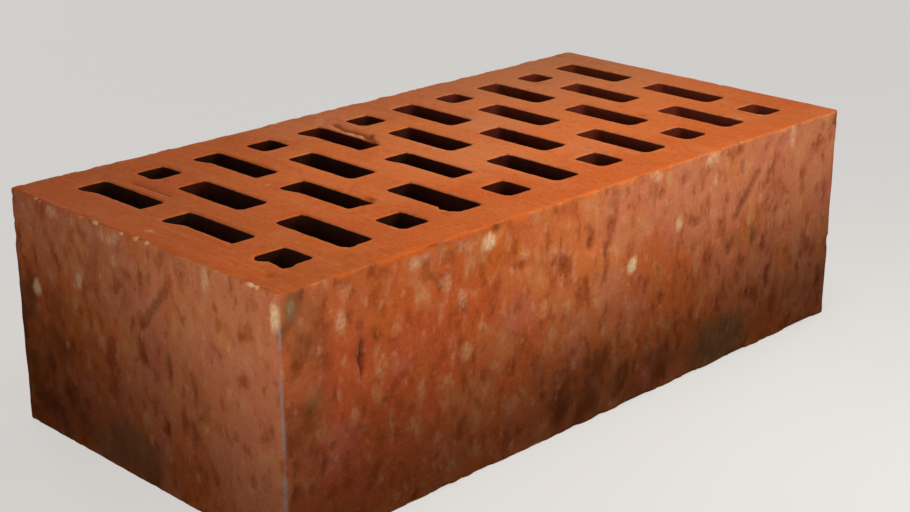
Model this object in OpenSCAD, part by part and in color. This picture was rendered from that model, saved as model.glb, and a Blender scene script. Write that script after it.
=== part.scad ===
// Slotted clay brick, extruded through a die with cores and cut to height by a wire.
// The origin is at the middle of the lower bed: X runs along the length, Y across
// the width, Z up through the slots.

/* [Brick] */
// Length of the stretcher, the long face
brick_length = 250; // [190:1:400]
// Width of the header, the short face
brick_width = 125; // [90:0.5:200]
// Height from the lower bed to the upper bed
brick_height = 75; // [30:0.5:240]

/* [Arrises] */
// Radius that the corners of the die leave on the four upright edges
arris_radius = 2; // [0.5:0.25:8]
// Width of the bevel that cutting and handling leave round both beds
bed_bevel = 0.8; // [0.2:0.1:3]

/* [Slots] */
// Columns of slots counted along the length
slot_columns = 11; // [2:1:15]
// Opening of every slot, measured along the length
slot_width = 10.5; // [6:0.5:16]
// Run of the short slot that closes each column, measured across the width
short_slot = 12; // [6:0.5:20]
// Run of the short slot in the columns that are turned end for end
turned_short_slot = 10; // [6:0.5:14]
// Corner radius of the die's cores
slot_corner = 2; // [0.5:0.25:2.75]

/* [Walls] */
// Clay between a header and the nearest column of slots
end_shell = 14; // [8:0.5:25]
// Clay between a stretcher and the nearest slots
side_shell = 14.5; // [8:0.5:25]
// Clay between two slots of one column
cross_web = 12; // [6:0.5:20]
// Clay between the two long slots of a turned column
turned_web = 15; // [8:0.5:20]

/* [Hidden] */
$fn = 48;

fired_clay = "#b8582f";

// The long slots fill what the shells, the webs and the short slot leave of the width
long_slots_per_column = 2;
slots_span = brick_width - 2 * side_shell;
webs_span = long_slots_per_column * cross_web;
long_slot = (slots_span - webs_span - short_slot) / long_slots_per_column;

// The columns are spread evenly between the two end shells
first_column_x = -brick_length / 2 + end_shell + slot_width / 2;
column_pitch = -2 * first_column_x / (slot_columns - 1);

// A flat rectangle about the origin with true round corners
module rounded_rectangle(length, width, radius) {
    square([length - 2 * radius, width], center = true);
    square([length, width - 2 * radius], center = true);
    for (x = [-1, 1], y = [-1, 1])
        translate([x * (length / 2 - radius), y * (width / 2 - radius)])
            circle(r = radius);
}

// One slot of the die section, its far end at y = far_y, running towards -Y
module slot(far_y, run) {
    translate([0, far_y - run / 2])
        rounded_rectangle(slot_width, run, slot_corner);
}

// One column: long slots from the far stretcher with a web between them, and a short
// slot by the near one
module slot_column(web, short_run) {
    far_y = slots_span / 2;
    for (i = [0 : long_slots_per_column - 1])
        slot(far_y - i * (long_slot + web), long_slot);
    slot(short_run - far_y, short_run);
}

// The section that the die gives the clay: every second column is turned end for end,
// so that the webs of neighbouring columns are staggered
module die_section() {
    difference() {
        rounded_rectangle(brick_length, brick_width, arris_radius);
        for (i = [0 : slot_columns - 1])
            translate([first_column_x + i * column_pitch, 0])
                if (i % 2 == 0)
                    slot_column(cross_web, short_slot);
                else
                    mirror([0, 1, 0])
                        slot_column(turned_web, turned_short_slot);
    }
}

// A side view of the brick, with its four corners bevelled
module bevelled_outline(span) {
    half = span / 2;
    polygon([
        [-half + bed_bevel, 0], [half - bed_bevel, 0],
        [half, bed_bevel], [half, brick_height - bed_bevel],
        [half - bed_bevel, brick_height], [-half + bed_bevel, brick_height],
        [-half, brick_height - bed_bevel], [-half, bed_bevel]
    ]);
}

// The whole brick, one fired piece: the cut length of the section, with both beds' edges bevelled
module brick() {
    color(fired_clay)
        intersection() {
            linear_extrude(height = brick_height)
                die_section();
            rotate([90, 0, 0])
                linear_extrude(height = brick_width, center = true)
                    bevelled_outline(brick_length);
            rotate([90, 0, 90])
                linear_extrude(height = brick_length, center = true)
                    bevelled_outline(brick_width);
        }
}

brick();
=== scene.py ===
# %% [markdown]
# # A slotted clay brick
# A facing brick is one piece of fired clay. Stiff clay is pushed through a die, steel cores
# in the die leave the slots, and a wire cuts the column into bricks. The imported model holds
# its true size and place, so this lesson loads that first and measures from it. The looks
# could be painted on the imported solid, but its faces are large and flat, so a finely divided
# brick is modelled in the same place and stands for it.

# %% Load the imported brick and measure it
import math

import bmesh
import bpy
import numpy as np
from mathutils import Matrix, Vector, noise


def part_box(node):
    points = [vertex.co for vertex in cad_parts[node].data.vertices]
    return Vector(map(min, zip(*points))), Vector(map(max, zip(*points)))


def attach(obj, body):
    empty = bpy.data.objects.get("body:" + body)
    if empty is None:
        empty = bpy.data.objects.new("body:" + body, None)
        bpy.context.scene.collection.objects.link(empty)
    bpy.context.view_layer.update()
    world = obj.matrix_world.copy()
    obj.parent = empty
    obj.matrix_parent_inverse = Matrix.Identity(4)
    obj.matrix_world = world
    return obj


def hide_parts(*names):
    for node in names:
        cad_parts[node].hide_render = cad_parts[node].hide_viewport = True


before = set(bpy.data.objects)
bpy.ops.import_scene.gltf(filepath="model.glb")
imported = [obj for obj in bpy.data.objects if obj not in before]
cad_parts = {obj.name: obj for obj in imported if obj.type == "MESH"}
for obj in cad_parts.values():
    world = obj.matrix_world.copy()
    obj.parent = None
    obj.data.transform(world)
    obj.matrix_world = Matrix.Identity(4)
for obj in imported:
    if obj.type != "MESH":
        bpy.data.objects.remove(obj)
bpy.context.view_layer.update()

mm = 0.001
low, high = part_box("brick")
length, width, height = high - low
print("brick in mm:", round(length / mm, 2), round(width / mm, 2), round(height / mm, 2))

# %% [markdown]
# ## The camera
# The picture is taken from a little above the brick, looking at one upright arris, so that a
# header shows on the left and a stretcher on the right. The camera could be aimed by eye, but
# a pinhole camera fitted to the brick's corners gives its place, turn, tilt and lens at once.

# %% Place the camera
camera_place = Vector((-372.5, -371.8, 227.3)) * mm
camera_turn = math.radians(-45.03)
camera_tilt = math.radians(19.85)
camera_lens = 67.55
nearest_seen = 10 * mm

camera = bpy.data.objects.new("camera", bpy.data.cameras.new("camera"))
camera.data.lens = camera_lens
camera.data.clip_start = nearest_seen
camera.location = camera_place
camera.rotation_euler = (math.pi / 2 - camera_tilt, 0, camera_turn)
bpy.context.collection.objects.link(camera)
bpy.context.scene.camera = camera
print("camera at", [round(value, 4) for value in camera.location], "lens", camera.data.lens)

# %% [markdown]
# ## Where the slots are
# The cores stand in columns. Each column holds two long slots and a short one, and every
# second column is turned end for end, so that the webs are staggered. A turned column has a
# shorter short slot and a wider web. A list of places would do, but the sizes of a column
# and a loop say it better and keep the rule in view.

# %% Work out the slots
slot_columns = 11
slot_width = 10.5 * mm
end_shell = 14 * mm
side_shell = 14.5 * mm
short_slot, turned_short_slot = 12 * mm, 10 * mm
cross_web, turned_web = 12 * mm, 15 * mm
slots_end = high.y - side_shell
long_slot = (2 * slots_end - 2 * cross_web - short_slot) / 2
column_pitch = (length - 2 * end_shell - slot_width) / (slot_columns - 1)

slots = []
for column in range(slot_columns):
    slot_x = low.x + end_shell + column * column_pitch
    turned = column % 2 == 1
    way = -1 if turned else 1
    second_end = slots_end - long_slot - (turned_web if turned else cross_web)
    short_run = turned_short_slot if turned else short_slot
    runs = ((slots_end, long_slot), (second_end, long_slot), (short_run - slots_end, short_run))
    for far_end, run in runs:
        ends = sorted((way * far_end, way * (far_end - run)))
        slots.append((slot_x, slot_x + slot_width, *ends))
slot_boxes = np.array(slots)
print("slots:", len(slots), "long", round(long_slot / mm, 2), "pitch", round(column_pitch / mm, 2))

# %% [markdown]
# ## A bed cut into small squares
# The pits and chips of a brick are a few millimetres wide, so the mesh needs squares of about
# a millimetre. Dividing a cube would not follow the slots. Here a grid is made, and its lines
# are slid so that some of them fall on the edges of the slots. The squares inside the slots
# are then taken out.

# %% Slide a grid's lines to the slots and open them
cell = 1.25 * mm
kept_digits = 7


def lines_through(stops):
    """Lines about a cell apart, with one of them on each stop"""
    lines = [stops[0]]
    for start, stop in zip(stops, stops[1:]):
        steps = max(1, round((stop - start) / cell))
        lines.extend(np.linspace(start, stop, steps + 1)[1:])
    return lines


def stops_of(first, last, edges):
    """The outer edges and the slots' edges, in order, each once"""
    return sorted({round(float(edge), kept_digits) for edge in (first, last, *edges)})


x_lines = lines_through(stops_of(low.x, high.x, slot_boxes[:, :2].ravel()))
y_lines = lines_through(stops_of(low.y, high.y, slot_boxes[:, 2:].ravel()))
columns, rows = len(x_lines) - 1, len(y_lines) - 1

brick = bmesh.new()
bmesh.ops.create_grid(brick, x_segments=columns, y_segments=rows, size=1)
for vert in brick.verts:
    vert.co.x = x_lines[round((vert.co.x + 1) / 2 * columns)]
    vert.co.y = y_lines[round((vert.co.y + 1) / 2 * rows)]


def in_a_slot(point):
    """True where the bed is open"""
    past_low = (slot_boxes[:, 0] < point.x) & (slot_boxes[:, 2] < point.y)
    short_of_high = (slot_boxes[:, 1] > point.x) & (slot_boxes[:, 3] > point.y)
    return bool((past_low & short_of_high).any())


open_squares = [face for face in brick.faces if in_a_slot(face.calc_center_median())]
bmesh.ops.delete(brick, geom=open_squares, context="FACES")
print("bed:", columns, "by", rows, "squares,", len(open_squares), "opened,", len(brick.faces), "left")

# %% [markdown]
# ## Round corners
# The die's cores have rounded corners, and so has the die itself, because clay tears at a
# sharp one. The bevel operator would leave odd faces where the squares meet the corner, so
# the few vertices near each corner are slid onto an arc instead.

# %% Slide the corners onto arcs
slot_corner = 2 * mm
arris_radius = 2 * mm
hair = 0.0001 * mm
edge_verts = [vert for vert in brick.verts if vert.is_boundary]
edge_points = np.array([vert.co[:2] for vert in edge_verts])


def round_corner(corner, inward, radius):
    """Slides the boundary near a corner onto an arc whose centre lies inward of it"""
    centre = corner + inward * radius
    offset = (edge_points - corner) * inward
    near = (offset > -hair).all(axis=1) & (offset < radius).all(axis=1)
    for index in np.flatnonzero(near):
        spoke = Vector(edge_points[index] - centre).normalized() * radius
        edge_verts[index].co.xy = Vector(centre) + spoke


brick_box = (low.x, high.x, low.y, high.y)
for box, radius in [(brick_box, arris_radius)] + [(slot, slot_corner) for slot in slots]:
    for side_x, inward_x in ((box[0], 1), (box[1], -1)):
        for side_y, inward_y in ((box[2], 1), (box[3], -1)):
            round_corner(np.array((side_x, side_y)), np.array((inward_x, inward_y)), radius)
print("corners rounded:", 4 + 4 * len(slots))

# %% [markdown]
# ## Up to height, in rows
# The bed is pulled up as the clay was pushed through the die. The four outer walls are seen
# and get rows about as high as the squares are wide. The slot walls are seen only near their
# mouths, so they get a few rows, close together there and far apart in the middle.

# %% Extrude the bed and divide the walls
raised = bmesh.ops.extrude_face_region(brick, geom=list(brick.faces))["geom"]
upper_bed = [item for item in raised if isinstance(item, bmesh.types.BMVert)]
bmesh.ops.translate(brick, verts=upper_bed, vec=(0, 0, height))

outer_rows = round(height / cell)
mouth_rows = [0, 1.8 * mm, 4.5 * mm, 11 * mm, 26 * mm]
slot_rows = mouth_rows + [height - depth for depth in reversed(mouth_rows)]


def by_a_side(vert):
    """True on the outer walls, which are further out than any slot"""
    return min(high.x - abs(vert.co.x), high.y - abs(vert.co.y)) < min(end_shell, side_shell) / 2


uprights = [edge for edge in brick.edges if abs(edge.verts[0].co.z - edge.verts[1].co.z) > height / 2]
outer_uprights = [edge for edge in uprights if by_a_side(edge.verts[0])]
slot_uprights = [edge for edge in uprights if not by_a_side(edge.verts[0])]
bmesh.ops.subdivide_edges(brick, edges=outer_uprights, cuts=outer_rows - 1)
slot_cuts = bmesh.ops.subdivide_edges(brick, edges=slot_uprights, cuts=len(slot_rows) - 2)
for item in slot_cuts["geom_inner"]:
    if isinstance(item, bmesh.types.BMVert):
        item.co.z = slot_rows[round(item.co.z / height * (len(slot_rows) - 1))]
bmesh.ops.recalc_face_normals(brick, faces=list(brick.faces))
print("walls:", outer_rows, "outer rows,", len(slot_rows) - 1, "slot rows,", len(brick.faces), "faces")

# %% [markdown]
# ## Soft arrises
# The wire leaves a keen edge, and drying and handling take it off again. Edges that are only
# shaded smooth would still look keen in outline. The bevel operator works well here, because
# every edge round the beds now has one square on each side. The mesh then becomes an object.

# %% Bevel every edge of both beds
bed_bevel = 0.6 * mm
upright_slope, level_slope = 0.1, 0.9
brick.normal_update()
bed_edges = []
for edge in brick.edges:
    slopes = [abs(face.normal.z) for face in edge.link_faces]
    if min(slopes) < upright_slope and max(slopes) > level_slope:
        bed_edges.append(edge)
bmesh.ops.bevel(
    brick, geom=bed_edges, offset=bed_bevel, offset_type="OFFSET", segments=2,
    profile=0.5, affect="EDGES", material=-1, clamp_overlap=True,
)
triangles = sum(len(face.verts) - 2 for face in brick.faces)
print("edges bevelled:", len(bed_edges), "triangles:", triangles)

# %% Make it an object
mesh = bpy.data.meshes.new("fired_brick")
brick.to_mesh(mesh)
brick.free()
mesh.polygons.foreach_set("use_smooth", np.ones(len(mesh.polygons), bool))
fired_brick = bpy.data.objects.new("fired_brick", mesh)
bpy.context.collection.objects.link(fired_brick)


def read_all(items, name, each):
    """One property of many mesh items as an array with a row for each"""
    values = np.empty(len(items) * each)
    items.foreach_get(name, values)
    return values.reshape(-1, each)


start = read_all(mesh.vertices, "co", 3)
normal = read_all(mesh.vertex_normals, "vector", 3)
print("mesh:", len(start), "vertices")

# %% [markdown]
# ## A flat map of the brick
# Patterns on Object coordinates need no map, but a model that leaves Blender carries its
# colours in a square picture, and that picture needs one. Smart UV Project would give most of
# it to the slot walls, which hardly show. So the six faces are laid out side by side at one
# scale, as a carton is unfolded, and the slot walls share a narrow band. The map is made now,
# while the faces are still flat.

# %% Lay the six faces side by side
map_gap = 1.5 * mm
map_side = 2 * width + 2 * height + 3 * map_gap
face_sizes = read_all(mesh.polygons, "loop_total", 1)[:, 0].astype(int)
corner_face = np.repeat(np.arange(len(face_sizes)), face_sizes)
corner_place = start[read_all(mesh.loops, "vertex_index", 1)[:, 0].astype(int)]
facing = read_all(mesh.polygons, "normal", 3)[corner_face]
middle_of_face = read_all(mesh.polygons, "center", 3)[corner_face]

flat_enough = 0.7
upright = np.abs(facing[:, 2]) < flat_enough
shell_depth = np.minimum(high.x - np.abs(middle_of_face[:, 0]), high.y - np.abs(middle_of_face[:, 1]))
outer = upright & (shell_depth < min(end_shell, side_shell) / 2)
end_on = np.abs(facing[:, 0]) > np.abs(facing[:, 1])
sides_left = 2 * (width + map_gap)
headers_bottom = length + map_gap
# Which corners, the axes across and up the face, and its left and bottom on the map
layout = [
    (facing[:, 2] > flat_enough, 1, 0, 0, 0),
    (facing[:, 2] < -flat_enough, 1, 0, width + map_gap, 0),
    (outer & ~end_on & (facing[:, 1] < 0), 2, 0, sides_left, 0),
    (outer & ~end_on & (facing[:, 1] > 0), 2, 0, sides_left + height + map_gap, 0),
    (outer & end_on & (facing[:, 0] < 0), 1, 2, 0, headers_bottom),
    (outer & end_on & (facing[:, 0] > 0), 1, 2, width + map_gap, headers_bottom),
]
corner_map = np.zeros((len(corner_place), 2))
for picked, across, up, left, bottom in layout:
    corner_map[picked, 0] = left + corner_place[picked, across] - low[across]
    corner_map[picked, 1] = bottom + corner_place[picked, up] - low[up]
corners_each = [int(picked.sum()) for picked, *_ in layout]
print("map:", round(map_side / mm, 1), "mm square,", corners_each, "corners")

# %% Wind each slot's walls into a strip of the band
band_rows = 2
band_columns = math.ceil(len(slots) / band_rows)
band_bottom = headers_bottom + height + map_gap
strip_width = map_side / band_columns
strip_height = (map_side - band_bottom) / band_rows
for index, (x_from, x_to, y_from, y_to) in enumerate(slots):
    row, column = divmod(index, band_columns)
    in_x = (middle_of_face[:, 0] > x_from - mm) & (middle_of_face[:, 0] < x_to + mm)
    in_y = (middle_of_face[:, 1] > y_from - mm) & (middle_of_face[:, 1] < y_to + mm)
    walls = upright & ~outer & in_x & in_y
    perimeter = 2 * (x_to - x_from + y_to - y_from)
    wound = 0
    for axis, sign in ((0, 1), (1, 1), (0, -1), (1, -1)):
        along = 1 - axis
        first, last = ((x_from, x_to), (y_from, y_to))[along]
        wall = walls & (end_on == (axis == 0)) & (facing[:, axis] * sign > 0)
        share = (wound + np.clip(corner_place[wall, along], first, last) - first) / perimeter
        share_up = np.clip(corner_place[wall, 2] / height, 0, 1)
        corner_map[wall, 0] = column * strip_width + share * (strip_width - map_gap)
        corner_map[wall, 1] = band_bottom + row * strip_height + share_up * (strip_height - map_gap)
        wound += last - first
flat_map = mesh.uv_layers.new(name="OFBake")
flat_map.data.foreach_set("uv", (corner_map / map_side).ravel())
print("strips:", len(slots), "of", round(strip_width / mm, 1), "by", round(strip_height / mm, 1), "mm")

# %% [markdown]
# ## Which clay is which
# The beds were cut, the outer sides were rubbed by the die and the slot walls by the cores,
# so each wears differently. Every vertex gets a share of each kind from its normal and place.
# Arrays hold them, because a step that moves ninety thousand vertices is then one line.

# %% Sort the vertices
touch = 0.01 * mm
in_slot = np.zeros(len(start), bool)
for x_from, x_to, y_from, y_to in slots:
    in_x = (start[:, 0] > x_from - touch) & (start[:, 0] < x_to + touch)
    in_y = (start[:, 1] > y_from - touch) & (start[:, 1] < y_to + touch)
    in_slot |= in_x & in_y

bed = np.abs(normal[:, 2]) ** 2
slot_wall = in_slot * (1 - bed)
side = (1 - bed) * ~in_slot
print("vertices on beds:", int((bed > 0.5).sum()), "sides:", int((side > 0.5).sum()))

# %% [markdown]
# ## What the die and the wire leave
# Grit drags along the die, so the sides carry upright streaks and long pits. The wire drags
# crumbs across the beds, so they are flatter, with fine lines across the width. Bump in the
# material could draw this, but a real edge shows it in outline, so the vertices move. They
# only move into the clay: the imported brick's box stays the largest size, and the die and the
# wire plane off whatever would stand highest.

# %% Spread clouds the size of each mark
fade_of_finer, finer_by = 1.0, 2.0


def clouds(size, shift=0.0, octaves=1):
    """Smooth random values from about -1 to 1 at every vertex, for a size in mm along each axis"""
    points = start / (np.array(size) * mm) + shift
    return np.array([noise.fractal(point, fade_of_finer, finer_by, octaves) for point in points.tolist()])


def shades(size, shift=0.0, octaves=1):
    """The same from about 0 to 1"""
    return 0.5 + 0.5 * clouds(size, shift, octaves)


def ramp(values, from_value, to_value):
    """0 before from_value, 1 after to_value and a smooth rise between"""
    share = np.clip((values - from_value) / (to_value - from_value), 0, 1)
    return share * share * (3 - 2 * share)


drying = shades((55, 55, 55))
streaks = shades((2.8, 2.8, 14), shift=3.1)
lumps = shades((5, 5, 8), shift=7.7, octaves=3)
drag_lines = shades((1.8, 45, 5), shift=5.9)
crumbs = clouds((2.2, 2.2, 2.2), shift=33.3)
side_pit_rise, bed_pit_rise = (0.44, 0.74), (0.55, 0.8)
long_pits = ramp(clouds((3.0, 3.0, 6), shift=12.3), *side_pit_rise)
bed_pits = ramp(clouds((3.4, 3.4, 3.4), shift=21.4), *bed_pit_rise)
print("share of the vertices in a long pit:", round(float((long_pits > 0.5).mean()), 3))

# %% Press the streaks, drag lines and pits into the clay
# Each kind of mark with the depth in mm that it has where its cloud is 1
side_marks = [(0.25, drying), (0.22, streaks), (0.40, lumps), (0.60, long_pits)]
bed_marks = [(0.20, drying), (0.10, drag_lines), (0.10, lumps), (0.30, bed_pits)]
slot_marks = [(0.25, streaks), (0.20, lumps)]
side_planed, bed_planed = 0.25, 0.10
side_pit_shade, bed_pit_shade = 0.6, 0.4


def pressed(kinds):
    """How deep several kinds of mark go together, in mm"""
    return sum(deepest * cloud for deepest, cloud in kinds)


side_depth = np.maximum(pressed(side_marks) - side_planed, 0)
bed_depth = np.maximum(pressed(bed_marks) - bed_planed, 0)
depth = side * side_depth + bed * bed_depth + slot_wall * pressed(slot_marks)
# Pits are painted darker as well as sunk: painted shade in the hollows
painted_pit_shade = side * side_pit_shade * long_pits + bed * bed_pit_shade * bed_pits
print("mean depth of the sides in mm:", round(float(side_depth.mean()), 2))
print("mean depth of the beds in mm:", round(float(bed_depth.mean()), 2))

# %% [markdown]
# ## A rule on each face
# A mark is easiest to place with a rule laid on one face: so far along it and so far down. So
# each face gets two arrays of distances in millimetres, and how squarely each vertex faces
# the same way. A mark is then a soft round patch or a soft line on those two distances. A
# painted picture could hold the marks too, but it would not move the vertices with them.

# %% Lay a rule on each face
x, y, z = start.T / mm
near_x, near_y, near_z = low / mm
far_x, far_y, far_z = high / mm
faces = {
    "stretcher": (-normal[:, 1], x - near_x, far_z - z),
    "header": (-normal[:, 0], far_y - y, far_z - z),
    "rear_stretcher": (normal[:, 1], far_x - x, far_z - z),
    "rear_header": (normal[:, 0], y - near_y, far_z - z),
    "upper_bed": (normal[:, 2], x - near_x, far_y - y),
    "lower_bed": (-normal[:, 2], x - near_x, y - near_y),
}
edge_reach, core_reach, raggedness = 1.3, 0.4, 0.3


def soft_mark(face, reach):
    """A ragged mark on one face, from the way to its middle as a share of its size"""
    squarely = np.clip(faces[face][0], 0, 1)
    return squarely * ~in_slot * ramp(reach * (1 + raggedness * crumbs), edge_reach, core_reach)


def spot(face, along, down, half_along, half_down):
    """A round patch, 1 in its middle and 0 outside"""
    _, at_along, at_down = faces[face]
    return soft_mark(face, np.hypot((at_along - along) / half_along, (at_down - down) / half_down))


def stroke(face, along, down, to_along, to_down, half_width):
    """A line from one point of a face to another"""
    _, at_along, at_down = faces[face]
    run = np.hypot(to_along - along, to_down - down)
    step_along, step_down = (to_along - along) / run, (to_down - down) / run
    travel = (at_along - along) * step_along + (at_down - down) * step_down
    travel = np.clip(travel, 0, run)
    off_along = at_along - along - travel * step_along
    off_down = at_down - down - travel * step_down
    return soft_mark(face, np.hypot(off_along, off_down) / half_width)


print("faces:", ", ".join(faces))

# %% [markdown]
# ## Marks that this brick shows
# Pale grains of lime and burnt clay sit in the sides, and pits are left where a grain fell
# out. Most are random, but the eye knows a brick by its largest ones, so those are placed one
# by one: along, down, half width, half height, and how strongly the mark shows. The header
# carries the same marks as the far half of the stretcher.

# %% Place the grains of the sides
pale_grains = [
    (139, 28.5, 2.4, 3.0, 1.0), (75.8, 5.0, 3.4, 3.2, 0.75), (162, 20.6, 2.0, 3.0, 0.6),
    (20.5, 13, 2.4, 4.0, 0.45), (65.2, 19.0, 2.6, 4.2, 0.38), (180.5, 9.8, 1.6, 2.4, 0.45),
    (90.5, 12.7, 2.4, 2.6, 0.35), (67, 35.6, 3.0, 3.4, 0.35), (103, 41, 2.2, 3.6, 0.25),
    # The mark at 250.7 along, on the header beside the upright arris, is a pale grain and a painted
    # highlight
    (174, 54, 2.0, 2.6, 0.2), (222.3, 4.2, 2.2, 5.5, 0.45), (250.7, 6.2, 1.8, 5.2, 0.85),
    (59.2, 13.0, 2.4, 4.2, 0.38), (40, 20.5, 1.6, 3.0, 0.3), (98.8, 32.7, 2.4, 3.6, 0.3),
    (109.2, 33.8, 2.4, 3.6, 0.3), (181, 21, 1.8, 2.6, 0.25), (113, 47.5, 2.0, 2.2, 0.2),
    (171.8, 37.3, 2.2, 3.6, 0.3), (100, 69, 3.0, 2.6, 0.2),
]
repeat_shift = 2.5
header_start = length / mm - width / mm + repeat_shift
grain_fill = 0.9


def one_face(face, marks, draw):
    """Each mark on one face, times its strength"""
    for *sizes, strength in marks:
        yield strength * draw(face, *sizes)


def both_sides(marks, draw, moved=(0,)):
    """Each mark on the stretcher and again where the header carries it, times its strength"""
    for *sizes, strength in marks:
        yield strength * draw("stretcher", *sizes)
        if sizes[0] > header_start:
            for index in moved:
                sizes[index] -= header_start
            yield strength * draw("header", *sizes)


pale = np.zeros(len(start))
for grain in both_sides(pale_grains, spot):
    pale = np.maximum(pale, grain)
    depth *= 1 - grain_fill * grain
print("grains:", len(pale_grains))

# %% Place the pits and scratches of the sides
side_pits = [
    (28, 25.6, 1.3, 5.6, 1.5), (79, 2.2, 2.6, 1.8, 0.7), (119.6, 17, 2.0, 2.6, 0.8),
    (17.5, 47.5, 1.8, 1.8, 0.6), (90, 16, 2.4, 1.8, 0.5), (100.5, 14, 1.3, 2.8, 0.5),
    (106.5, 15, 1.2, 5.0, 0.6), (209, 5.5, 1.5, 2.6, 0.6), (218, 5.5, 1.5, 2.4, 0.4),
    (164.5, 7, 2.0, 2.6, 0.5), (171, 31.5, 1.8, 2.2, 0.6), (190, 36, 2.0, 2.8, 0.7),
    (203, 35, 1.8, 5.0, 0.9), (155, 43.5, 1.8, 3.0, 0.6), (213, 52, 1.8, 5.0, 0.8),
    (64.5, 60, 2.2, 4.5, 0.6), (10, 36, 1.6, 2.2, 0.5), (43, 36, 1.6, 2.0, 0.5),
    (105, 57, 2.0, 3.0, 0.5), (201, 55, 1.6, 3.5, 0.7),
]
pit_depth = 1.3
# Pits and scratches are painted darker where they sink: painted shade in the hollows
for pit in both_sides(side_pits, spot):
    painted_pit_shade = np.maximum(painted_pit_shade, pit)
    depth += pit_depth * pit
side_scratches = [(203.8, 12.5, 192.5, 25, 2.1, 0.75)]
scratch_depth = 0.5
for scratch in both_sides(side_scratches, stroke, moved=(0, 2)):
    painted_pit_shade = np.maximum(painted_pit_shade, scratch)
    depth += scratch_depth * scratch
print("pits:", len(side_pits), "scratches:", len(side_scratches))

# %% [markdown]
# ## Scratches on the upper bed
# The wire and the setting hand leave a few short scratches between the slots. Beside the
# fifth column a flap of paler clay was smeared along, and the clay cracked behind it. A knife
# tool could cut these lines, but it would leave slivers in the mesh, so they are pressed in
# as soft lines: from along and down, to along and down, half width, and strength.

# %% Place the scratches of the upper bed
bed_scratches = [
    (28.8, 22.5, 29.4, 41, 0.9, 0.8), (68, 75, 75, 70, 0.8, 0.5), (71, 39, 70, 45, 0.8, 0.4),
    (166, 69, 168, 75, 0.8, 0.4), (114.6, 16, 112.5, 23, 1.3, 1.2), (112.5, 23, 112.9, 30, 1.4, 1.5),
    (112.9, 30, 113.4, 34, 1.4, 1.4), (113.4, 34, 108.5, 39.5, 1.9, 1.8),
]
pale_scratches = [(109.6, 13.8, 115, 7.5, 1.8, 0.24), (110.6, 25, 109.6, 34.5, 1.5, 0.4)]
bed_scratch_depth = 0.5
# Each scratch is painted darker where it sinks: painted shade
for scratch in one_face("upper_bed", bed_scratches, stroke):
    painted_pit_shade = np.maximum(painted_pit_shade, scratch)
    depth += bed_scratch_depth * scratch
for scratch in one_face("upper_bed", pale_scratches, stroke):
    pale = np.maximum(pale, scratch)
print("bed scratches:", len(bed_scratches) + len(pale_scratches))

# %% [markdown]
# ## Marks left to chance
# Small grains and pits lie all over, and the two rear faces have large ones too. A texture
# could scatter them, but a pit has to sink as well as darken, so they are spots like those
# above. A seeded generator places them, and the brick is the same each time.

# %% Scatter small grains and pits
chance = np.random.default_rng(41)
spans = {
    "stretcher": (length, height), "header": (width, height), "rear_stretcher": (length, height),
    "rear_header": (width, height), "upper_bed": (length, width), "lower_bed": (length, width),
}
# Grains, then pits: square mm for each, half widths in mm, most drawn out, shade, pit's depth
side_lot = ((450, (0.9, 1.8), 1.6, 0.4), (550, (0.9, 1.6), 2.4, 0.6, 0.8))
bed_lot = ((1800, (0.9, 1.8), 1.6, 0.4), (1500, (0.9, 1.6), 2.4, 0.6, 0.4))
rear_lot = ((1100, (1.8, 3.0), 1.6, 0.7), (1100, (1.3, 2.0), 2.8, 1.0, pit_depth))
faintest = 0.3


def scatter(face, area_each, sizes, stretch):
    """Spots at random on one face, one for each area in square mm"""
    along, down = spans[face][0] / mm, spans[face][1] / mm
    for _ in range(round(along * down / area_each)):
        size = chance.uniform(*sizes)
        tall = size * chance.uniform(1, stretch)
        strength = chance.uniform(faintest, 1)
        at_along, at_down = chance.uniform(0, along), chance.uniform(0, down)
        yield strength * spot(face, at_along, at_down, size, tall)


for face in faces:
    lots = [bed_lot if face.endswith("bed") else side_lot]
    if face.startswith("rear"):
        lots.append(rear_lot)
    for (*grains, grain_shade), (*pits, pit_shade, deepest) in lots:
        for grain in scatter(face, *grains):
            pale = np.maximum(pale, grain_shade * grain)
            depth *= 1 - grain_fill * grain
        for pit in scatter(face, *pits):
            painted_pit_shade = np.maximum(painted_pit_shade, pit_shade * pit)
            depth += deepest * pit
place = start - normal * (depth * mm)[:, None]
print("deepest pit in mm:", round(float(depth.max()), 2))

# %% [markdown]
# ## Worn arrises
# Handling rounds the beds' arrises further, the stretchers' more than the headers'. A wider
# bevel would be as even as a machined edge, so instead every vertex that lies outside an arc is
# pulled in to it, and noise changes the arc's radius along the arris.

# %% Wear the arrises of both beds
middle = np.array(low + high) / 2
half_size = np.array(high - low) / 2
uneven_rise = (-0.5, 0.5)
uneven = ramp(clouds((7, 7, 10), shift=40.7, octaves=3), *uneven_rise)
least_worn = 0.6
most_worn = (1.2, 2.2)
upright_axis = 2
for axis, most in enumerate(most_worn):
    radius = (least_worn + (most - least_worn) * uneven) * mm
    from_centre = radius[:, None] - (half_size - np.abs(place - middle))
    reach = np.hypot(from_centre[:, axis], from_centre[:, upright_axis])
    past_centre = (from_centre[:, axis] > 0) & (from_centre[:, upright_axis] > 0)
    worn = ~in_slot & past_centre & (reach > radius)
    too_far = 1 - radius[worn] / reach[worn]
    for moved_axis in (axis, upright_axis):
        outward = np.sign(place[worn, moved_axis] - middle[moved_axis])
        place[worn, moved_axis] -= outward * from_centre[worn, moved_axis] * too_far
    print("worn vertices:", int(worn.sum()))

# %% [markdown]
# ## Chipped arrises
# An arris also chips when bricks knock together. A Boolean cut would leave slivers, so a chip
# is a scoop: every vertex inside a ragged ball moves out to the ball's surface, and the mesh
# stays closed. The upright arrises were rounded by the die, so a chip has to bite deeper to
# show there. At the foot the chips are smaller.

# %% Chip the arrises
chip_raggedness = 0.25


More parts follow.
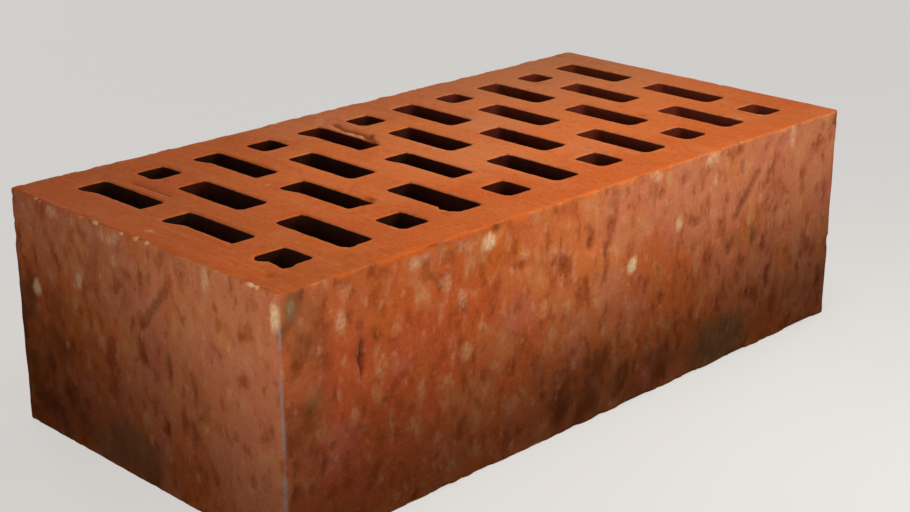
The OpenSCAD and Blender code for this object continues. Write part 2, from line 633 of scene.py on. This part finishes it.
def scoop(centre, radius):
    """Takes a ragged ball out of the clay and returns how deep each vertex was in it"""
    away = place - centre
    reach = np.linalg.norm(away, axis=1)
    ragged = radius * (1 + chip_raggedness * crumbs)
    inside = reach < ragged
    place[inside] = centre + away[inside] * (ragged[inside] / reach[inside])[:, None]
    return np.clip((ragged - reach) / radius, 0, 1)


chips_per_metre = 60
chip_radii, chip_bites, chip_shades = (1.6, 4.0), (0.35, 0.80), (0.05, 0.5)
upright_bite = 0.5
foot_bite_share = 0.6
chip_edge = 0.12
chip_span_share = 0.98
chips = 0
for axis in range(3):
    for signs in ((-1, -1), (-1, 1), (1, -1), (1, 1)):
        outward = np.insert(np.array(signs, float), axis, 0)
        for _ in range(round(2 * half_size[axis] * chips_per_metre)):
            on_arris = middle + half_size * outward
            on_arris[axis] += chance.uniform(-chip_span_share, chip_span_share) * half_size[axis]
            radius = chance.uniform(*chip_radii) * mm
            bite = chance.uniform(*chip_bites) * mm
            bite += upright_bite * mm if axis == upright_axis else 0
            bite *= foot_bite_share if outward[upright_axis] < 0 else 1
            torn = scoop(on_arris + outward / math.sqrt(2) * (radius - bite), radius)
            pale = np.maximum(pale, chance.uniform(*chip_shades) * ramp(torn, 0.0, chip_edge))
            chips += 1
print("chips:", chips)

# %% Chip the header's upper arris where it shows most
header_chips = [
    (9, 1.6), (14, 2.0), (19, 1.8), (24, 2.2), (30, 2.4), (36, 2.0), (45, 3.0), (52, 2.2),
    (58, 2.0), (64, 2.8), (70, 2.4), (76, 1.8), (98, 2.0), (113, 3.2), (116, 2.4),
]
out_of_arris = Vector((-0.5, 0, 0.5))
header_chip_shade = 0.8
for along, radius in header_chips:
    on_arris = Vector((low.x, high.y - along * mm, high.z))
    torn = scoop(np.array(on_arris + out_of_arris * radius * mm), radius * mm)
    pale = np.maximum(pale, header_chip_shade * ramp(torn, 0.0, chip_edge))
print("header chips:", len(header_chips))

# %% [markdown]
# ## Burrs
# The wire also drags clay over the near edge of some slots, so that the first, third and fifth
# columns look narrower at the bed than they are below. Burrs of their own would need seams
# with the bed, so the vertices round those edges slide across the mouth instead, most at the
# bed and hardly at all some millimetres down.

# %% Drag clay over three columns of mouths
burrs = {0: 2.2, 2: 1.8, 4: 1.5}
burr_reach = 6
burr_depth = 5
burr_end, burr_fade = 2, 10
slots_each = len(slots) // slot_columns
for index, (x_from, x_to, y_from, y_to) in enumerate(slots):
    column = index // slots_each
    if column not in burrs or y_to - y_from < long_slot / 2:
        continue
    from_edge = x - x_from / mm
    near_edge = ramp(from_edge, -burr_reach, 0) * (from_edge < (x_to - x_from) / 2 / mm)
    along_edge = ramp(y, y_to / mm - burr_end, y_to / mm - burr_fade)
    along_edge = along_edge * ramp(y, y_from / mm - burr_end, y_from / mm + burr_end)
    near_bed = ramp(far_z - z, burr_depth, 0)
    place[:, 0] += burrs[column] * mm * near_edge * along_edge * near_bed
print("columns with burrs:", len(burrs))

# %% [markdown]
# ## Torn mouths
# A tear takes clay out beside a slot, so its ball has to be centred in the slot's opening:
# centred in the clay, it would push the slot's wall into the opening as a blob. Each tear is
# listed and then moved into the nearest slot by a share of its radius.

# %% Tear the slots' mouths
torn_mouths = [
    (13.0, 101.5, 3.4), (15.6, 110.0, 2.6), (67.8, 84.0, 4.0),
    (109.6, 40.0, 3.2), (37.0, 110.8, 2.4), (78.5, 106.0, 3.4),
]
inset_share = 0.45
lift_share = 0.15
slot_low, slot_high = slot_boxes[:, 0::2], slot_boxes[:, 1::2]
for along, down, radius in torn_mouths:
    wanted = np.array((low.x + along * mm, high.y - down * mm))
    inset = inset_share * radius * mm
    moved_in = np.clip(wanted, slot_low + inset, slot_high - inset)
    nearest = moved_in[np.linalg.norm(moved_in - wanted, axis=1).argmin()]
    scoop(np.append(nearest, high.z + lift_share * radius * mm), radius * mm)
print("torn mouths:", len(torn_mouths))

# %% [markdown]
# ## Stains, painted light and painted shade
# A kiln never burns a brick evenly: some clay comes out brighter or redder, some is burnt
# brown, and a dusty bloom lies towards one end. Some of the bright and brown places are painted
# light and painted shade, and the slot walls get painted shade, near black and lighter towards
# the far end. The ground and the hand mark the brick later, with smudges and pale rubbed spots.
# Noise would scatter these anywhere, so each kind is an array of its own that the material reads
# as an attribute. The places are written as for the grains.

# %% Place the bloom and the painted light in the slots
dusty_places = [
    (185, 12, 42, 22, 0.9), (228, 14, 34, 26, 1.0), (240, 45, 26, 34, 0.8), (200, 40, 30, 22, 0.6),
    (128, 32, 9, 8, 0.7), (8, 30, 9, 34, 0.4), (140, 10, 24, 16, 0.7), (125, 40, 24, 14, 0.45),
]
bed_dusty = [
    (108, 12, 28, 18, 0.5), (118, 75, 26, 26, 0.45), (155, 52, 16, 14, 0.45), (155, 93, 14, 12, 0.4),
]
bloom_and_slot_light_start, bed_bloom_end, slot_light_end = 60, 250, 240
bloom_front = 110
bloom_and_slot_light = np.zeros(len(start))
for stain in both_sides(dusty_places, spot):
    bloom_and_slot_light = np.maximum(bloom_and_slot_light, stain)
squarely, at_along, at_down = faces["upper_bed"]
towards_end = ramp(at_along, bloom_and_slot_light_start, bed_bloom_end) * ramp(at_down, bloom_front, 0)
bloom_and_slot_light += np.clip(squarely, 0, 1) * ~in_slot * towards_end
# In the slots the same array lightens the painted shade towards the far end: painted light
bloom_and_slot_light += in_slot * ramp(at_along, bloom_and_slot_light_start, slot_light_end)
for stain in one_face("upper_bed", bed_dusty, spot):
    bloom_and_slot_light += stain
print("bloom places:", len(dusty_places) + len(bed_dusty))

# %% Place the brown, bright and red clay, with painted light and shade
brown_places = [
    (119, 64, 22, 16, 0.9), (150, 66, 18, 10, 0.6), (5, 24, 14, 32, 0.8), (38, 50, 16, 16, 0.35),
    (95, 52, 10, 10, 0.3), (215, 62, 18, 14, 0.3), (205, 36, 18, 16, 0.4),
    (69, 5, 9, 8, 0.25), (168, 6, 9, 8, 0.25), (31, 14, 8, 16, 0.18),
]
# The first two header places darken its far end lower down: painted shade
header_shade_and_brown = [(6, 45, 34, 25, 0.75), (0, 47, 14, 20, 0.5), (50, 20, 16, 14, 0.35)]
# The upper bed is painted darker at its left end: painted shade
bed_painted_shade = [(0, 30, 60, 95, 0.3), (0, 124, 50, 16, 0.25)]
# The place at 235 along also lightens the header's top by the upright arris: painted light
bright_places = [(115, 18, 30, 24, 1.0), (235, 10, 20, 16, 0.8)]
header_bright = [(8, 6, 26, 12, 0.8)]
# The upper bed is painted lighter over its right part: painted light
bed_painted_light = [(160, 60, 130, 44, 1.0)]
red_places = [(45, 38, 55, 34, 0.8), (20, 45, 24, 26, 0.5)]
least_brown_and_shade = 0.4


def patchy(least):
    """From least to 1, as unevenly as the arrises are worn"""
    return least + (1 - least) * uneven


brown_and_shade = sum(both_sides(brown_places, spot)) + sum(one_face("header", header_shade_and_brown, spot))
brown_and_shade = patchy(least_brown_and_shade) * brown_and_shade + sum(one_face("upper_bed", bed_painted_shade, spot))
bright_clay_and_light = sum(both_sides(bright_places, spot)) + sum(one_face("header", header_bright, spot))
bright_clay_and_light += sum(one_face("upper_bed", bed_painted_light, spot))
red = sum(both_sides(red_places, spot))

# The slot walls are painted near black from just below each bed: painted shade
mouth_edge = 0.3
from_a_bed = np.minimum(far_z - z, z - near_z)
painted_slot_shade = in_slot * ramp(from_a_bed, 0, mouth_edge)
print("brown, bright and red places:", len(brown_places), len(bright_places), len(red_places))

# %% Place the smudges and the rubbed spots
smudged_places = [(183, 67, 19, 11, 0.72), (6, 8, 9, 11, 0.4), (4, 6, 2.4, 4.5, 0.5)]
stretcher_smudge = [(187, 68, 21, 11, 0.3)]
tan_places = [
    (150, 2.5, 4, 2.6, 0.5), (158, 3.5, 5, 2.8, 0.45), (168, 2.5, 4, 2.4, 0.3), (178, 3, 6, 2.8, 0.5),
    (4, 6, 2.4, 4.5, 0.35), (57, 3.6, 3.6, 3.0, 0.65), (63, 3.6, 3.4, 3.0, 0.45), (52, 4, 3, 2.6, 0.55),
    (68, 4, 3, 2.6, 0.4), (47, 4, 3, 2.4, 0.45), (22, 5, 3, 4, 0.3),
    (218, 4, 1.6, 4, 0.3), (212, 3, 2, 3, 0.35),
]
# The second value also sets how patchy the painted highlight on the upright arrises is
least_smudged, least_rubbed = 0.7, 0.3
smudged = sum(both_sides(smudged_places, spot)) + sum(one_face("stretcher", stretcher_smudge, spot))
smudged *= patchy(least_smudged)
for stain in both_sides(tan_places, spot):
    pale = np.maximum(pale, patchy(least_rubbed) * stain)
print("smudges:", len(smudged_places) + len(stretcher_smudge), "rubbed spots:", len(tan_places))

# %% [markdown]
# ## A painted highlight on the upright arrises and painted shade at the foot
# The upright arrises get a pale grey line that is a painted highlight, the wire wipes cut clay a
# few millimetres over the edge of the stretchers, and painted shade darkens the sides towards the
# foot. A gradient texture could draw that shade, but it also changes from place to place: it
# reaches less high on the header's half by the upright arris and higher at the far end. So these
# are arrays as well.

# %% Paint the highlight on the upright arrises and the shade at the foot
arris_rise = (0.4, 1.0)
# The pale grey line on the upright arrises is a painted highlight
upright_arris = side * ramp(2 * np.abs(normal[:, 0] * normal[:, 1]), *arris_rise)
rubbed = upright_arris * patchy(least_rubbed)

wiped_reach, wiped_full, wiped_share = 5, 0.8, 0.8
wiped = ramp(far_z - z, wiped_reach, wiped_full) * uneven * np.clip(np.abs(normal[:, 1]), 0, 1) * ~in_slot
cut_clay = np.maximum(bed, wiped_share * wiped)

# Painted shade: the sides grow darker towards the foot, less so on the header's half by the upright arris
shade_start, shade_end = 15, 72
far_start_rise, far_end_rise = 6, 5
near_end_rise, far_rise = (40, 120), (60, 180)
header_shade_cut, near_end_shade_cut = 0.08, 0.28
squarely, at_along, at_down = faces["header"]
on_header = np.clip(squarely, 0, 1)
near_header_end = on_header * ramp(at_along, *near_end_rise)
to_far_end = ramp(x - near_x, *far_rise)
shade_top = shade_start * (1 - on_header + near_header_end) - far_start_rise * to_far_end
shade_full = shade_end - far_end_rise * to_far_end
shade_strength = 1 - header_shade_cut * on_header - near_end_shade_cut * near_header_end
painted_foot_shade = side * shade_strength * ramp(at_down, shade_top, shade_full)
print("mean damp of the sides:", round(float(painted_foot_shade[side > 0.5].mean()), 2))

# %% [markdown]
# ## Keep the shape
# The moved vertices go back into the mesh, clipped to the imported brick's box, and each array
# of marks becomes an attribute, which is how a material can read a value of a vertex. Painted
# pictures would need a map and a file. An attribute needs neither and is as fine as the mesh.

# %% Write the vertices and the attributes
mesh.vertices.foreach_set("co", np.clip(place, low, high).ravel())
mesh.update()
marks = {
    "cut_clay": cut_clay, "painted_slot_shade": painted_slot_shade, "pale": pale, "painted_pit_shade": painted_pit_shade, "bloom_and_slot_light": bloom_and_slot_light, "brown_and_shade": brown_and_shade,
    "smudged": smudged, "rubbed": rubbed, "painted_foot_shade": painted_foot_shade, "bright_clay_and_light": bright_clay_and_light, "red": red,
}
for name, values in marks.items():
    mesh.attributes.new(name, "FLOAT", "POINT").data.foreach_set("value", values)
print("attributes:", ", ".join(marks))

# %% [markdown]
# ## Fired clay
# Red-burning clay is coloured by iron, and the kiln leaves it porous, so it is matt all over
# with hardly any gloss. One flat colour would look like plastic, so the colour is built up from
# patterns. Two helpers come first: one turns a colour as a painter would write it into the
# values that a shader takes, and one adds a node with its settings and links.

# %% Start the material


def linear(code):
    """An sRGB hex colour as the linear values that a shader takes"""
    shares = [int(code[at:at + 2], 16) / 255 for at in (1, 3, 5)]
    values = []
    for share in shares:
        dark = share < 0.04045
        values.append(share / 12.92 if dark else ((share + 0.055) / 1.055) ** 2.4)
    return values + [1]


def add_node(tree, kind, inputs=None, **settings):
    """Adds one node, sets its options, and sets or links its inputs"""
    node = tree.nodes.new("ShaderNode" + kind)
    for option, value in settings.items():
        setattr(node, option, value)
    for name, value in (inputs or {}).items():
        if isinstance(value, bpy.types.NodeSocket):
            tree.links.new(value, node.inputs[name])
        else:
            node.inputs[name].default_value = value
    return node


# Fired clay, pushed through a die and cut by a wire: warm, grainy and matt, because its open
# pores swallow the highlight that a glazed surface would have
clay_ior = 1.45
clay_gloss = 0.05
fired_clay = bpy.data.materials.new("fired_clay")
fired_clay.use_nodes = True
clay = fired_clay.node_tree
shader = clay.nodes["Principled BSDF"]
shader.inputs["IOR"].default_value = clay_ior
shader.inputs["Specular IOR Level"].default_value = clay_gloss
mesh.materials.append(fired_clay)
print("material:", fired_clay.name)

# %% [markdown]
# ## Patterns in the clay
# Clay is never one colour. Patches a few centimetres wide come from the kiln, blotches and
# flecks are drawn out along the die, sand lies between them, and the wire leaves lines across
# the beds. A picture of clay could be wrapped round the brick, but noise needs no picture and
# has no seams. The scale of each is worked out from its size in millimetres.

# %% Add the patterns
die_stretch, wire_stretch = (1, 1, 0.65), (1, 0.04, 1)
object_place = add_node(clay, "TexCoord").outputs["Object"]
along_die = add_node(clay, "Mapping", {"Vector": object_place, "Scale": die_stretch}).outputs["Vector"]
along_wire = add_node(clay, "Mapping", {"Vector": object_place, "Scale": wire_stretch}).outputs["Vector"]
# Sizes are in mm. Real sand and wire lines are finer than 1.3 mm and are drawn as coarse as
# they need to show.
patterns = {}
for name, place_on, size, detail in (
    ("patches", object_place, 38, 3), ("bloom", object_place, 18, 4), ("tints", along_die, 12, 3),
    ("blotches", along_die, 8, 3), ("flecks", along_die, 4.0, 2), ("sand", object_place, 1.3, 4),
    ("wire_lines", along_wire, 1.3, 2),
):
    values = {"Vector": place_on, "Scale": 1 / (size * mm), "Detail": detail}
    patterns[name] = add_node(clay, "TexNoise", values).outputs["Fac"]
print("noises:", ", ".join(patterns))

# %% [markdown]
# ## Specks and ragged marks
# Crushed brick and burnt crumbs show as specks in the clay. Noise would join them up, so they
# are the cells of a Voronoi texture, of which only some are chosen, and a second noise pushes
# their edges about. The mesh is too coarse to give a placed grain or pit a ragged edge, so the
# sand breaks those marks up.

# %% Add the specks and break up the marks
wobble_size, wobble_detail = 2.5 * mm, 3
wobble = {"Vector": object_place, "Scale": 1 / wobble_size, "Detail": wobble_detail}
wobble = add_node(clay, "TexNoise", wobble).outputs["Color"]
wobbled = {0: wobble, 1: (wobble_size,) * 3, 2: along_die}
ragged_place = add_node(clay, "VectorMath", wobbled, operation="MULTIPLY_ADD").outputs["Vector"]
chosen_fade = 0.1
core_limits = {"From Min": 0.34, "From Max": 0.12}
for name, spacing, least in (("pale_specks", 4.0, 0.62), ("dark_specks", 6.0, 0.60), ("grains", 1.8, 0.62)):
    cells = add_node(clay, "TexVoronoi", {"Vector": ragged_place, "Scale": 1 / (spacing * mm)}).outputs
    chosen_limits = {"From Min": least, "From Max": least + chosen_fade}
    chosen = add_node(clay, "MapRange", {"Value": cells["Color"], **chosen_limits}).outputs["Result"]
    core = add_node(clay, "MapRange", {"Value": cells["Distance"], **core_limits}).outputs["Result"]
    speck = add_node(clay, "Math", {0: chosen, 1: core}, operation="MULTIPLY")
    patterns[name] = speck.outputs["Value"]
broken = {"Value": patterns["sand"], "From Min": 0.40, "From Max": 0.60, "To Min": 0.75, "To Max": 1.10}
broken = add_node(clay, "MapRange", broken).outputs["Result"]
for name in marks:
    patterns[name] = add_node(clay, "Attribute", attribute_name=name).outputs["Fac"]
    if name in ("pale", "painted_pit_shade", "smudged"):
        ragged_mark = add_node(clay, "Math", {0: patterns[name], 1: broken}, operation="MULTIPLY")
        patterns[name] = ragged_mark.outputs["Value"]
print("patterns:", len(patterns))

# %% [markdown]
# ## Layers of colour
# A painter would lay thin coats over one another, each only where it belongs. A colour ramp on
# one noise could not, because every coat lies elsewhere. The helper does what the painter does:
# a layer names its pattern, the values between which it fades in, its strength and its colour.
# The die's skin, the wire's cut and the painted shade of the slot walls get coats of their own and are
# joined.

# %% Paint the skin and the cut
mix_share, mix_under, mix_over, mix_result = 0, 6, 7, 2


def cover(colour, layers):
    """Lays colours over one another, each where its pattern rises from one value to another"""
    for pattern, rises_from, rises_to, strength, paint in layers:
        rise = {"From Min": rises_from, "From Max": rises_to, "To Max": strength}
        rise["Value"] = patterns[pattern]
        share = add_node(clay, "MapRange", rise, interpolation_type="SMOOTHSTEP")
        over = linear(paint) if isinstance(paint, str) else paint
        values = {mix_share: share.outputs["Result"], mix_under: colour, mix_over: over}
        colour = add_node(clay, "Mix", values, data_type="RGBA").outputs[mix_result]
    return colour


skin = cover(linear("#c46435"), [
    ("patches", 0.42, 0.60, 0.70, "#ca5f28"),
    ("red", 0.00, 1.00, 0.70, "#bd5029"),
    # Brighter clay, and painted light on the header by the upright arris
    ("bright_clay_and_light", 0.00, 1.00, 0.60, "#da7840"),
    ("bloom_and_slot_light", 0.00, 1.00, 0.75, "#cc7c57"),
    ("bloom", 0.52, 0.70, 0.40, "#cc8450"),
    ("tints", 0.54, 0.68, 0.55, "#c56a50"),
    ("tints", 0.46, 0.32, 0.36, "#c9671f"),
    ("blotches", 0.48, 0.28, 0.70, "#984420"),
    ("blotches", 0.55, 0.75, 0.50, "#d18a54"),
    ("flecks", 0.55, 0.75, 0.38, "#d69466"),
    ("flecks", 0.44, 0.26, 0.45, "#8a401b"),
    ("sand", 0.55, 0.74, 0.20, "#d89a6c"),
    ("sand", 0.45, 0.28, 0.24, "#7e3916"),
    ("grains", 0.20, 0.90, 0.17, "#dba57a"),
    ("pale_specks", 0.20, 0.90, 0.25, "#dca87e"),
    ("dark_specks", 0.10, 0.90, 0.32, "#6a2f14"),
])
cut = cover(linear("#c56025"), [
    ("patches", 0.40, 0.62, 0.60, "#c8591f"),
    # Brighter clay, and painted light over the upper bed's right part
    ("bright_clay_and_light", 0.00, 1.00, 0.65, "#e07536"),
    ("bloom_and_slot_light", 0.00, 1.00, 0.60, "#d08556"),
    ("bloom", 0.52, 0.72, 0.35, "#d07a44"),
    ("bloom", 0.46, 0.28, 0.25, "#b5501e"),
    ("wire_lines", 0.52, 0.75, 0.15, "#d88a58"),
    ("wire_lines", 0.46, 0.25, 0.15, "#a9521f"),
    ("sand", 0.55, 0.74, 0.20, "#da8f5c"),
    ("sand", 0.45, 0.28, 0.25, "#9c471b"),
    ("grains", 0.20, 0.90, 0.15, "#dc9a68"),
    ("dark_specks", 0.30, 0.90, 0.20, "#8a3a16"),
])
# Painted shade in the slots: near black, with some darker patches
slot_shade_colour = cover(linear("#0d0403"), [
    # Painted light: the slot walls' shade grows lighter and redder towards the far end
    ("bloom_and_slot_light", 0.00, 1.00, 0.80, "#6c2916"),
    ("patches", 0.50, 0.66, 0.60, "#3e0f08"),
])
colour = cover(skin, [
    ("cut_clay", 0.30, 0.80, 1.00, cut),
    # Brown clay, and painted shade at the header's far end and the bed's left end
    ("brown_and_shade", 0.00, 1.00, 0.80, "#6e3517"),
    ("smudged", 0.00, 1.00, 0.75, "#64583c"),
    # Pits and scratches painted dark brown: painted shade in the hollows
    ("painted_pit_shade", 0.10, 1.00, 0.60, "#5a2710"),
    # A painted highlight: the pale grey line on the upright arrises
    ("rubbed", 0.10, 0.90, 0.65, "#aa9a94"),
    ("pale", 0.02, 1.00, 0.95, "#f3c898"),
    # The painted shade of the slot walls
    ("painted_slot_shade", 0.05, 0.95, 0.97, slot_shade_colour),
])
print("nodes so far:", len(clay.nodes))

# %% [markdown]
# ## Painted shade at the foot
# The painted shade takes the colour down evenly, as a grey glass would. One more coat that covers
# would hide the patterns under it, so this one multiplies.

# %% Paint the shade at the foot
painted_shade_grey = "#959595"
# The painted shade at the foot multiplies the colour by grey
values = {mix_share: patterns["painted_foot_shade"], mix_under: colour, mix_over: linear(painted_shade_grey)}
colour = add_node(clay, "Mix", values, data_type="RGBA", blend_type="MULTIPLY").outputs[mix_result]
clay.links.new(colour, shader.inputs["Base Color"])
print("foot darkened to", round(linear(painted_shade_grey)[0], 2))

# %% [markdown]
# ## Roughness and grit
# Sand grains at the surface are a little smoother than the clay between them. The grit is too
# fine for the mesh, so bump draws it. Real grit is finer than 0.8 mm and is drawn as coarse as it
# needs to show.

# %% Link roughness and bump
clay_rough, sand_rough = 0.98, 0.84
roughness = {"Value": patterns["sand"], "To Min": clay_rough, "To Max": sand_rough}
roughness = add_node(clay, "MapRange", roughness).outputs["Result"]
clay.links.new(roughness, shader.inputs["Roughness"])
grit_size, grit_detail = 0.8 * mm, 2
grit_strength, grit_height = 0.45, 0.3 * mm
grit = {"Vector": object_place, "Scale": 1 / grit_size, "Detail": grit_detail}
grit = add_node(clay, "TexNoise", grit).outputs["Fac"]
relief = add_node(clay, "Math", {0: patterns["sand"], 1: grit}, operation="ADD").outputs["Value"]
bump = {"Height": relief, "Strength": grit_strength, "Distance": grit_height}
bump = add_node(clay, "Bump", bump).outputs["Normal"]
clay.links.new(bump, shader.inputs["Normal"])
print("nodes in the clay:", len(clay.nodes))

# %% [markdown]
# ## The floor
# The brick lies on a plain pale floor. A pale floor also throws light back up, which would
# wash out the dark foot, so only what the camera and reflections see is pale. To the light
# itself the floor is dark. Part of the paleness is a glow, and a glow takes no shadow, so the
# floor is a grid of three by three whose middle, under the brick, has the same paint without.

# %% Lay the floor
floor_half = 4
hidden_share = 0.98
floor_x = [-floor_half, low.x * hidden_share, high.x * hidden_share, floor_half]
floor_y = [-floor_half, low.y * hidden_share, high.y * hidden_share, floor_half]
floor_cells = len(floor_x) - 1
grid_half = floor_cells / 2
floor_shape = bmesh.new()
bmesh.ops.create_grid(floor_shape, x_segments=floor_cells, y_segments=floor_cells, size=grid_half)
for vert in floor_shape.verts:
    vert.co.x = floor_x[round(vert.co.x + grid_half)]
    vert.co.y = floor_y[round(vert.co.y + grid_half)]
for face in floor_shape.faces:
    face.material_index = int(face.calc_center_median().length < mm)
floor_mesh = bpy.data.meshes.new("floor")
floor_shape.to_mesh(floor_mesh)
floor_shape.free()
floor = bpy.data.objects.new("floor", floor_mesh)
bpy.context.collection.objects.link(floor)
print("floor:", 2 * floor_half, "m square")

# %% Paint the floor


def seen_by_eye(tree):
    """1 for rays that show a surface to the camera, straight or mirrored, and 0 for the rest"""
    rays = add_node(tree, "LightPath").outputs
    seen = rays["Is Camera Ray"]
    mirrored = {0: rays["Is Glossy Ray"], 1: rays["Is Transmission Ray"]}
    mirrored = add_node(tree, "Math", mirrored, operation="MAXIMUM").outputs["Value"]
    return add_node(tree, "Math", {0: seen, 1: mirrored}, operation="MAXIMUM").outputs["Value"]


# Matt paint: an even pale grey that takes a soft shadow and has no highlight
paint_rough, paint_gloss = 0.9, 0.1
dark_tint, pale_tint, glow_tint = linear("#484644"), linear("#7f7d7a"), linear("#fffcf8")
for name, glow in (("floor_paint", 0.56), ("floor_paint_in_shade", 0.0)):
    floor_paint = bpy.data.materials.new(name)
    floor_paint.use_nodes = True
    tree = floor_paint.node_tree
    seen = seen_by_eye(tree)
    tints = {mix_share: seen, mix_under: dark_tint, mix_over: pale_tint}
    floor_colour = add_node(tree, "Mix", tints, data_type="RGBA").outputs[mix_result]
    glow_seen = add_node(tree, "Math", {0: seen, 1: glow}, operation="MULTIPLY").outputs["Value"]
    floor_shader = tree.nodes["Principled BSDF"]
    floor_shader.inputs["Roughness"].default_value = paint_rough
    floor_shader.inputs["Specular IOR Level"].default_value = paint_gloss
    floor_shader.inputs["Emission Color"].default_value = glow_tint
    tree.links.new(floor_colour, floor_shader.inputs["Base Color"])
    tree.links.new(glow_seen, floor_shader.inputs["Emission Strength"])
    floor_mesh.materials.append(floor_paint)
print("floor paints:", len(floor_mesh.materials))

# %% [markdown]
# ## Soft light
# Light falls most strongly on the near edge of the upper bed, and fades towards the far end
# and the foot. That is what softboxes close to the brick do: one above, one beside the near
# arris and one low in front. The rear faces are lit evenly from far away, by two low suns
# with a wide disc, because a softbox there would burn a bright patch into the floor. The room
# looks pale to the camera and adds only a little light to the brick.

# %% Hang the lamps


def hang(name, kind, location, power, **shape):
    """A lamp of some power at a place in metres, aimed at the middle of the brick"""
    lamp = bpy.data.lights.new(name, kind)
    lamp.energy = power
    for setting, value in shape.items():
        setattr(lamp, setting, value)
    holder = bpy.data.objects.new(name, lamp)
    holder.location = location
    holder.visible_camera = False
    aim = Vector((0, 0, height / 2)) - holder.location
    holder.rotation_euler = aim.to_track_quat("-Z", "Y").to_euler()
    bpy.context.collection.objects.link(holder)
    return holder


softbox_size = 0.12
sun_power, sun_disc = 2.2, 0.3
lamps = [
    hang("above", "AREA", (0.055, -0.076, 0.30), 0.31, size=softbox_size),
    hang("by_the_arris", "AREA", (-0.30, -0.15, 0.15), 0.36, size=softbox_size),
    hang("low_in_front", "AREA", (0.05, -0.27, 0.17), 0.46, size=softbox_size),
    hang("behind_left", "SUN", (0.35, 1.0, 0.08), sun_power, angle=sun_disc),
    hang("behind_right", "SUN", (1.0, 0.25, 0.08), sun_power, angle=sun_disc),
]
print("lamps:", ", ".join(holder.name for holder in lamps))

# %% Light the room
to_the_light, to_the_eye = 0.06, 0.75
world = bpy.data.worlds.new("studio")
world.use_nodes = True
bpy.context.scene.world = world
sky = world.node_tree
levels = {"Value": seen_by_eye(sky), "To Min": to_the_light, "To Max": to_the_eye}
level = add_node(sky, "MapRange", levels).outputs["Result"]
sky.nodes["Background"].inputs["Color"].default_value = linear("#ffffff")
sky.links.new(level, sky.nodes["Background"].inputs["Strength"])
bpy.context.scene.view_settings.view_transform = "Standard"
print("world:", world.name)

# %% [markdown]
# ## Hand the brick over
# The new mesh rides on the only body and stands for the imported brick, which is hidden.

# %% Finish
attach(fired_brick, "root")
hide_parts("brick")
